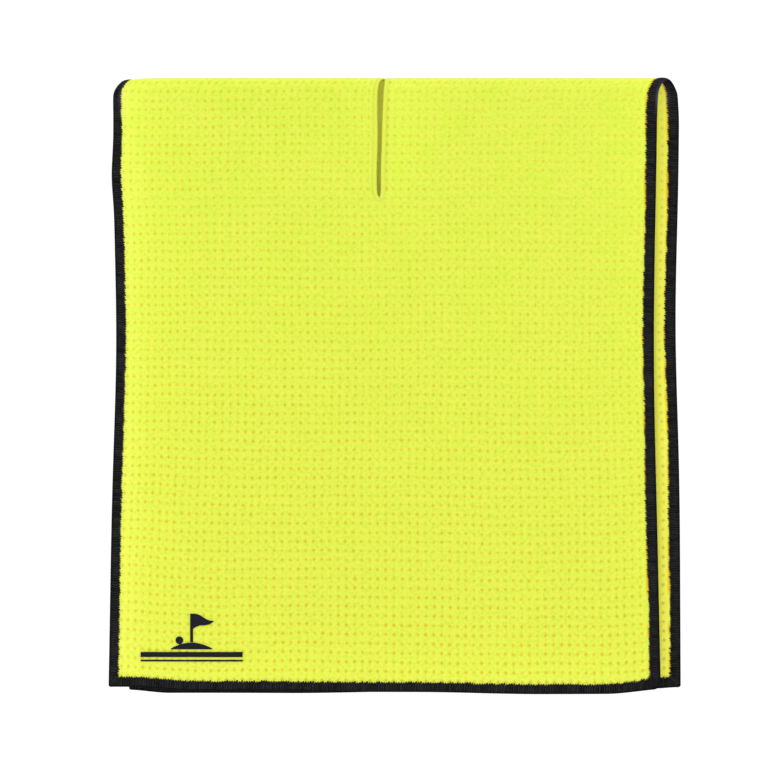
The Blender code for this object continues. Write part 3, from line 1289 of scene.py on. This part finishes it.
@dataclass(frozen=True)
class WaffleMicrofibre:
    """Polyester and polyamide microfibre, dyed in the piece and woven in waffle cells."""

    # Split fibres scatter light with hardly any gloss, so the ridges look chalky and evenly bright. The dye
    # takes unevenly, in soft patches and in flecks a few loops wide. The loose floats in the pits lie in
    # their own shade, which is painted into the colour as soft ochre dots, and so is the shade on the cloth
    # that the right seam pulls down. The thin cloth lets light through, and its inner face is painted a
    # brighter, warmer yellow for the light that comes through it and bounces between the halves.
    half_length: float
    seam_at: float
    name: str = "waffle_weave_microfibre"
    ridge: str = "E6FB58"
    greener: str = "DEFB51"
    warmer: str = "ECF95C"
    low: str = "F1FB59"
    fleck: str = "D9F246"
    # painted light: the inner face is a brighter, warmer yellow for light that comes through the cloth and
    # bounces between the halves
    inner: str = "FDFA4C"
    seam_shade: str = "F2B800"
    # painted shade: the ochre that shade takes in the pits, on the outer face and, darker, on the inner face
    pit: str = "DECE1A"
    inner_pit: str = "D2BC24"
    dye_patch: Blots = Blots(34 * MM)
    dye_band: Band = Band(0.35, 0.65)
    cell_group: Blots = Blots(7 * MM, 1.0)
    cell_band: Band = Band(0.30, 0.70)
    warm_band: Band = Band(0.0, 1.0, most=0.6)
    low_share: float = 0.8
    loops: Blots = Blots(1.1 * MM, 3.0)  # real loops are 0.3 mm across, drawn coarser so that they show
    loop_band: Band = Band(0.62, 0.30, most=0.25)
    loop_depth: float = 0.16 * MM
    loop_strength: float = 0.55
    matt_band: Band = Band(0.2, 0.8, 0.95, 0.82)
    flecks: Blots = Blots(1.7 * MM, 1.0)
    fleck_band: Band = Band(0.40, 0.72, most=0.75)
    layer_band: Band = Band(0.0, MM, most=0.8)
    inner_pit_band: Band = Band(0.0, MM)
    pit_band: Band = Band(0.0, 0.90, most=0.95)
    seam_shade_width: float = 1.6 * MM
    seam_patch: Blots = Blots(16 * MM, 1.0)
    seam_patch_band: Band = Band(0.42, 0.56, most=0.85)
    ior: float = 1.56
    specular: float = 0.16
    sheen: float = 0.12
    sheen_roughness: float = 0.5
    glow: float = 0.65
    glow_depth: float = 5.5 * MM
    glow_reach: tuple[float, float, float] = (1.0, 0.95, 1.5)  # red, green and blue

    def make(self) -> bpy.types.Material:
        """Make the cloth's material.

        Returns:
            The finished material.
        """
        material, tree = blank_material(self.name)
        where = add_node(tree, Kind.SHEET, {})
        along = add_node(tree, Kind.SHEET_Y, {"Vector": where})
        layer = add_node(tree, Kind.SHEET_Z, {"Vector": where})
        loops = add_node(tree, Kind.NOISE, self.loops.inputs(where))
        patches = add_node(tree, Kind.NOISE, self.dye_patch.inputs(where))
        groups = add_node(tree, Kind.NOISE, self.cell_group.inputs(where))
        warm_cells = add_node(tree, Kind.STEP, self.cell_band.inputs(groups))
        flecks = add_node(tree, Kind.NOISE, self.flecks.inputs(where))
        hung_low = Band(0.0, self.half_length, most=self.low_share)
        dyed = tinted(
            tree,
            linear(self.ridge),
            (add_node(tree, Kind.STEP, self.dye_band.inputs(patches)), linear(self.greener)),
            (add_node(tree, Kind.STEP, self.warm_band.inputs(warm_cells)), linear(self.warmer)),
            (add_node(tree, Kind.STEP, hung_low.inputs(along)), linear(self.low)),
            (add_node(tree, Kind.STEP, self.loop_band.inputs(loops)), linear(self.low)),
            (add_node(tree, Kind.STEP, self.fleck_band.inputs(flecks)), linear(self.fleck)),
            # painted light on the inner face
            (add_node(tree, Kind.STEP, self.layer_band.inputs(layer)), linear(self.inner)),
        )
        on_inner = add_node(tree, Kind.STEP, self.inner_pit_band.inputs(layer))
        pit = tinted(tree, linear(self.pit), (on_inner, linear(self.inner_pit)))
        # painted shade in the pits, as deep as each pit
        pit_shade_share = add_node(tree, Kind.STEP, self.pit_band.inputs(add_node(tree, Kind.PIT, {})))
        shaded = (self.beside_seam(tree, where), linear(self.seam_shade))
        normal = {"Strength": self.loop_strength, "Distance": self.loop_depth, "Height": loops}
        looks = {
            "Base Color": tinted(tree, dyed, shaded, (pit_shade_share, pit)),
            "Roughness": add_node(tree, Kind.STEP, self.matt_band.inputs(loops)),
            "Normal": add_node(tree, Kind.BUMP, normal),
            "IOR": self.ior,
            "Specular IOR Level": self.specular,
            "Sheen Weight": self.sheen,
            "Sheen Roughness": self.sheen_roughness,
            "Sheen Tint": linear(self.warmer),
            "Subsurface Weight": self.glow,
            "Subsurface Radius": self.glow_reach,
            "Subsurface Scale": self.glow_depth,
        }
        dress(tree, looks)
        return material

    def beside_seam(self, tree: bpy.types.NodeTree, where: Any) -> Any:
        """How much the right seam shades the cloth beside it.

        Args:
            tree: the node tree.
            where: the socket that says where on the sheet a point is.

        Returns:
            The socket of the shade's share, which comes and goes along the seam.
        """
        patches = add_node(tree, Kind.NOISE, self.seam_patch.inputs(where))
        patchy = add_node(tree, Kind.STEP, self.seam_patch_band.inputs(patches))
        near = Band(self.seam_at - self.seam_shade_width, self.seam_at, most=patchy)
        return add_node(tree, Kind.STEP, near.inputs(add_node(tree, Kind.SHEET_X, {"Vector": where})))


@dataclass(frozen=True)
class OverlockThread:
    """Textured polyester sewing thread, laid side by side by an overlock machine."""

    # Crimped filaments give a dull, soft line of light along the top of each stitch, and deep shade between.
    # The crown colour paints that highlight, and the valley colour paints the shade.
    # Lint dulls the thread in soft spots, and a painted highlight makes it pale where it bends over the fold.
    name: str
    crown: str
    valley: str
    rim: str
    rubbed: str
    ior: float = 1.56
    specular: float = 0.05
    sheen: float = 0.0
    sheen_roughness: float = 0.4
    filaments: Blots = Blots(0.55 * MM, 3.0)  # real bundles are 0.2 mm, drawn coarser so that they show
    filament_run: tuple[float, float, float] = (1.0, 0.30, 1.0)
    filament_band: Band = Band(0.65, 0.35, most=0.7)
    filament_depth: float = 0.12 * MM
    filament_strength: float = 0.7
    crown_band: Band = Band(0.25, 0.95)
    lint: Blots = Blots(4 * MM)
    lint_band: Band = Band(0.40, 0.75, most=0.5)
    dull_band: Band = Band(0.3, 0.7, 0.80, 0.62)

    def make(self) -> bpy.types.Material:
        """Make the thread's material.

        Returns:
            The finished material.
        """
        material, tree = blank_material(self.name)
        where = add_node(tree, Kind.SHEET, {})
        lengthwise = add_node(tree, Kind.STRETCH, {"Vector": where, "Scale": self.filament_run})
        filaments = add_node(tree, Kind.NOISE, self.filaments.inputs(lengthwise))
        lint = add_node(tree, Kind.NOISE, self.lint.inputs(where))
        crown = add_node(tree, Kind.CROWN, {})
        # painted highlight on the stitch crowns over painted shade in the valleys
        colour = tinted(
            tree,
            linear(self.valley),
            (add_node(tree, Kind.STEP, self.crown_band.inputs(crown)), linear(self.crown)),
            (add_node(tree, Kind.STEP, self.filament_band.inputs(filaments)), linear(self.valley)),
            (add_node(tree, Kind.STEP, self.lint_band.inputs(lint)), linear(self.crown)),
            (add_node(tree, Kind.RIM, {}), linear(self.rim)),
            # painted highlight where the edging bends over the fold
            (add_node(tree, Kind.RUBBED, {}), linear(self.rubbed)),
        )
        normal = {"Strength": self.filament_strength, "Distance": self.filament_depth, "Height": filaments}
        looks = {
            "Base Color": colour,
            "Roughness": add_node(tree, Kind.STEP, self.dull_band.inputs(filaments)),
            "Normal": add_node(tree, Kind.BUMP, normal),
            "IOR": self.ior,
            "Specular IOR Level": self.specular,
            "Sheen Weight": self.sheen,
            "Sheen Roughness": self.sheen_roughness,
        }
        dress(tree, looks)
        return material


@dataclass(frozen=True)
class TransferFilm:
    """Polyurethane transfer film, cut and heat-pressed into the cloth."""

    # The press pushes the soft film into the weave, so it stays matt and shows the loops under it.
    name: str = "heat_pressed_polyurethane_film"
    film: str = "121320"
    worn: str = "1C1E2E"
    ior: float = 1.50
    specular: float = 0.14
    weave: Blots = Blots(1.3 * MM)
    worn_band: Band = Band(0.45, 0.80)
    matt_band: Band = Band(0.3, 0.7, 0.55, 0.72)
    weave_depth: float = 0.10 * MM
    weave_strength: float = 0.6

    def make(self) -> bpy.types.Material:
        """Make the print's material.

        Returns:
            The finished material.
        """
        material, tree = blank_material(self.name)
        weave = add_node(tree, Kind.NOISE, self.weave.inputs(add_node(tree, Kind.SHEET, {})))
        worn = add_node(tree, Kind.STEP, self.worn_band.inputs(weave))
        normal = {"Strength": self.weave_strength, "Distance": self.weave_depth, "Height": weave}
        looks = {
            "Base Color": tinted(tree, linear(self.film), (worn, linear(self.worn))),
            "Roughness": add_node(tree, Kind.STEP, self.matt_band.inputs(weave)),
            "Normal": add_node(tree, Kind.BUMP, normal),
            "IOR": self.ior,
            "Specular IOR Level": self.specular,
        }
        dress(tree, looks)
        return material


@dataclass(frozen=True)
class PaintedFloor:
    """A studio floor rolled with matt white emulsion paint."""

    # The roller leaves a faint stipple, and the paint has no gloss.
    name: str = "rolled_matt_emulsion"
    paint: str = "F6F6F5"
    shade: str = "F1F1F0"
    ior: float = 1.5
    stipple: Blots = Blots(6 * MM)
    stipple_depth: float = 0.1 * MM
    stipple_strength: float = 0.2
    matt_band: Band = Band(0.0, 1.0, 0.85, 0.95)

    def make(self) -> bpy.types.Material:
        """Make the floor's material.

        Returns:
            The finished material.
        """
        material, tree = blank_material(self.name)
        stipple = add_node(tree, Kind.NOISE, self.stipple.inputs(add_node(tree, Kind.OBJECT_PLACE, {})))
        normal = {"Strength": self.stipple_strength, "Distance": self.stipple_depth, "Height": stipple}
        looks = {
            "Base Color": tinted(tree, linear(self.paint), (stipple, linear(self.shade))),
            "Roughness": add_node(tree, Kind.STEP, self.matt_band.inputs(stipple)),
            "Normal": add_node(tree, Kind.BUMP, normal),
            "IOR": self.ior,
        }
        dress(tree, looks)
        return material


# ---------------------------------------------------------------- assembly


@dataclass
class TowelHalf:
    """One half of the towel: its cloth, the black overlock round it and the tonal one round its slit."""

    drape: Drape
    cloth_finish: bpy.types.Material
    edge_finish: bpy.types.Material
    slit_finish: bpy.types.Material
    left_corner: float
    right_corner: float
    pit_shift: float
    rub_right: float
    seams: list[bpy.types.Object] = field(default_factory=list)

    def build(self) -> bpy.types.Object:
        """Build and dress the half.

        Returns:
            The cloth, with its seams made.
        """
        label = self.drape.side.label
        fold_part = self.drape.side.fold_part
        cloth = WaffleCloth(self.drape, first_pit=WaffleCloth.first_pit + self.pit_shift).build()
        cloth_nodes = (f"{label}_cloth", f"fold_cloth_{fold_part}")
        self.attach(cloth, self.cloth_finish, "waffle_cloth", *cloth_nodes)
        edge = EdgeOverlock(
            self.drape,
            f"{label}_edge_overlock",
            width=self.drape.plan.edging_width,
            height=1.20 * MM,
            rib_pitch=2.0 * MM,
            rib_height=0.50 * MM,
            slant=0.9 * MM,
            ragged=0.12,
            seed=31 + self.drape.side.value,
            left_corner=self.left_corner,
            right_corner=self.right_corner,
            rub_right=self.rub_right,
        ).build()
        edge_nodes = [f"{label}_edging_{place}" for place in ("left", "right", "bottom")]
        self.attach(edge, self.edge_finish, "edging_thread", *edge_nodes, f"fold_edging_{fold_part}")
        slit = SlitOverlock(
            self.drape,
            f"{label}_slit_overlock",
            width=4.0 * MM,
            height=0.80 * MM,
            rib_pitch=1.3 * MM,
            rib_height=0.10 * MM,
            slant=0.0,
            ragged=0.06,
            seed=47 + self.drape.side.value,
        ).build()
        slit_nodes = [f"{label}_slit_edging_{place}" for place in ("left", "right", "end")]
        self.attach(slit, self.slit_finish, "slit_thread", *slit_nodes, f"fold_slit_edging_{fold_part}")
        self.seams.extend((edge, slit))
        return cloth

    def attach(self, piece: bpy.types.Object, finish: bpy.types.Material, slot: str, *nodes: str) -> None:
        """Dress a piece and hide the frame's nodes that it stands for.

        Args:
            piece: the piece.
            finish: its material.
            slot: not used.
            nodes: the frame's nodes that it stands for.
        """
        piece.data.materials.append(finish)
        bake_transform(piece)
        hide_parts(*nodes)
        LOG.info("%s: %d faces", piece.name, len(piece.data.polygons))


@dataclass(frozen=True)
class GolfTowel:
    """The whole towel, hung over its middle."""

    plan: TowelPlan
    needle_reach: float = 0.9 * MM

    def front_drape(self) -> Drape:
        """How the front half hangs: drawn in at its waist, and flared at its lower left.

        Returns:
            The front half's drape.
        """
        return Drape(
            self.plan,
            Side.FRONT,
            left=SideLine(
                inset=1.5 * MM,
                waist=2.9 * MM,
                waist_at=0.225,
                waist_spread=0.100,
                flare=3.75 * MM,
                flare_power=2.6,
                kink=1.6 * MM,
            ),
            right=SideLine(
                inset=0.7 * MM,
                waist=3.2 * MM,
                waist_at=0.225,
                waist_spread=0.150,
                flare=2.6 * MM,
                flare_power=4.0,
            ),
            hem=HemLine(
                (
                    (-0.212, -3.2 * MM),
                    (-0.150, 0.0),
                    (-0.100, 0.1 * MM),
                    (-0.020, 1.2 * MM),
                    (0.030, 1.2 * MM),
                    (0.130, 2.8 * MM),
                    (0.180, 2.8 * MM),
                    (0.235, -1.6 * MM),
                )
            ),
            swells=(
                Swell(across=-0.150, spread=0.060, depth=2.2 * MM, drift=0.018),
                Swell(across=-0.015, spread=0.050, depth=-1.6 * MM, drift=0.012),
                Swell(across=0.105, spread=0.055, depth=2.0 * MM, drift=-0.014),
                Swell(across=0.210, spread=0.035, depth=-2.6 * MM, full_at=0.4),
            ),
        )

    def back_drape(self) -> Drape:
        """How the back half hangs: straighter, and close to the front half along its right side.

        Returns:
            The back half's drape.
        """
        return Drape(
            self.plan,
            Side.BACK,
            left=SideLine(
                inset=0.6 * MM,
                waist=1.6 * MM,
                waist_at=0.200,
                waist_spread=0.130,
                flare=3.0 * MM,
                flare_power=3.0,
            ),
            right=SideLine(
                inset=-2.0 * MM,
                waist=3.4 * MM,
                waist_at=0.205,
                waist_spread=0.100,
                flare=0.8 * MM,
                flare_power=3.0,
            ),
            hem=HemLine(
                (
                    (-0.226, 0.4 * MM),
                    (-0.192, 3.0 * MM),
                    (-0.090, 3.2 * MM),
                    (0.000, 2.0 * MM),
                    (0.150, 1.0 * MM),
                    (0.205, -1.0 * MM),
                    (0.222, -2.1 * MM),
                )
            ),
            swells=(
                Swell(across=-0.120, spread=0.055, depth=2.0 * MM, drift=-0.016),
                Swell(across=0.020, spread=0.055, depth=2.2 * MM, drift=0.014),
                Swell(across=0.150, spread=0.045, depth=1.8 * MM, drift=0.010),
                Swell(across=0.222, spread=0.030, depth=-5.8 * MM, full_at=0.4),
            ),
        )

    def build(self) -> None:
        """Build both halves and the badge."""
        needle_line = self.plan.width / 2 - self.plan.edging_width - self.needle_reach
        cloth = WaffleMicrofibre(self.plan.half_length, needle_line).make()
        black = OverlockThread(
            "black_polyester_overlock_thread", crown="2C2C2F", valley="060607", rim="040404", rubbed="565462"
        ).make()
        yellow = OverlockThread(
            "yellow_polyester_overlock_thread",
            crown="E0EE54",
            valley="DAE64E",
            rim="DCE850",
            rubbed="E0EE54",
            sheen=0.1,
        ).make()
        finishes = (cloth, black, yellow)
        film = TransferFilm().make()
        front = TowelHalf(
            self.front_drape(),
            *finishes,
            left_corner=1.6 * MM,
            right_corner=5.5 * MM,
            pit_shift=0.0,
            rub_right=0.0,
        )
        back = TowelHalf(
            self.back_drape(),
            *finishes,
            left_corner=1.8 * MM,
            right_corner=2.2 * MM,
            pit_shift=1.0 * MM,
            rub_right=0.95,
        )
        for half in (front, back):
            body = half.build()
            films = self.print_badge(half.drape, film) if half is front else []
            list(half.seams)

    def print_badge(self, drape: Drape, finish: bpy.types.Material) -> list[bpy.types.Object]:
        """Press the badge onto the front half.

        Args:
            drape: how the front half hangs.
            finish: the film's material.

        Returns:
            The badge's films.
        """
        films = []
        for piece, node in PrintedBadge(drape).build():
            piece.data.materials.append(finish)
            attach(piece, "front_half")
            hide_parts(node)
            LOG.info("%s: %d faces", piece.name, len(piece.data.polygons))
            films.append(piece)
        return films


@dataclass(frozen=True)
class Studio:
    """A pale floor, an even white surround, one large soft lamp and the camera."""

    plan: TowelPlan
    shown_width: float = 0.6333
    lens: float = 200.0
    sensor: float = 36.0
    floor_gap: float = 0.25
    floor_radius: float = 1.9
    surround: float = 1.06
    lamp_place: tuple[float, float, float] = (-1.1, -2.4, 0.9)
    lamp_size: float = 1.2
    lamp_power: float = 5.0
    camera_drop: float = 1.1 * MM
    floor_sides: int = 96

    def build(self) -> None:
        """Set the towel's surroundings up."""
        self.lay_floor()
        self.light()
        self.stand_camera()
        bpy.context.scene.view_settings.view_transform = "Standard"
        LOG.info("studio ready")

    def lay_floor(self) -> None:
        """Lay a round floor a little under the towel."""
        height = CAD_BOX[0][2] - self.floor_gap
        angles = np.linspace(0.0, 2 * math.pi, self.floor_sides, endpoint=False)
        mesh = bpy.data.meshes.new("studio_floor")
        rim = [(self.floor_radius * math.cos(a), self.floor_radius * math.sin(a), height) for a in angles]
        mesh.from_pydata(rim, [], [tuple(range(len(rim)))])
        mesh.materials.append(PaintedFloor().make())
        floor = bpy.data.objects.new("studio_floor", mesh)
        bpy.context.scene.collection.objects.link(floor)

    def light(self) -> None:
        """Surround the towel with even white light, and add one large lamp in front."""
        world = bpy.data.worlds.new("white_surround")
        world.use_nodes = True
        world.node_tree.nodes.clear()
        white = {"Color": (1.0, 1.0, 1.0, 1.0), "Strength": self.surround}
        light = add_node(world.node_tree, Kind.SURROUND, white)
        add_node(world.node_tree, Kind.WORLD, {"Surface": light})
        bpy.context.scene.world = world
        data = bpy.data.lights.new("soft_lamp", "AREA")
        data.shape = "DISK"
        data.size = self.lamp_size
        data.energy = self.lamp_power
        lamp = bpy.data.objects.new("soft_lamp", data)
        lamp.location = self.lamp_place
        aim = Vector((0.0, 0.0, (CAD_BOX[0][2] + CAD_BOX[1][2]) / 2)) - lamp.location
        lamp.rotation_euler = aim.to_track_quat("-Z", "Y").to_euler()
        bpy.context.scene.collection.objects.link(lamp)

    def stand_camera(self) -> None:
        """Stand the camera square to the front half."""
        data = bpy.data.cameras.new("camera")
        data.lens = self.lens
        data.sensor_width = self.sensor
        camera = bpy.data.objects.new("camera", data)
        distance = self.shown_width * self.lens / self.sensor
        middle = (CAD_BOX[0][2] + CAD_BOX[1][2]) / 2 - self.camera_drop
        camera.location = (-self.plan.half_shift, CAD_BOX[0][1] - distance, middle)
        camera.rotation_euler = (QUARTER_TURN, 0.0, 0.0)
        bpy.context.scene.collection.objects.link(camera)
        bpy.context.scene.camera = camera


def clear_startup() -> None:
    """Remove what a new Blender file holds."""
    for name in ("Cube", "Light", "Camera"):
        if name in bpy.data.objects:
            bpy.data.objects.remove(bpy.data.objects[name])


def main() -> None:
    """Build the towel and its studio."""
    logging.basicConfig(level=logging.INFO, format="%(name)s: %(message)s")
    clear_startup()
    plan = TowelPlan.from_frame()
    GolfTowel(plan).build()
    Studio(plan).build()


if __name__ == "__main__":
    main()
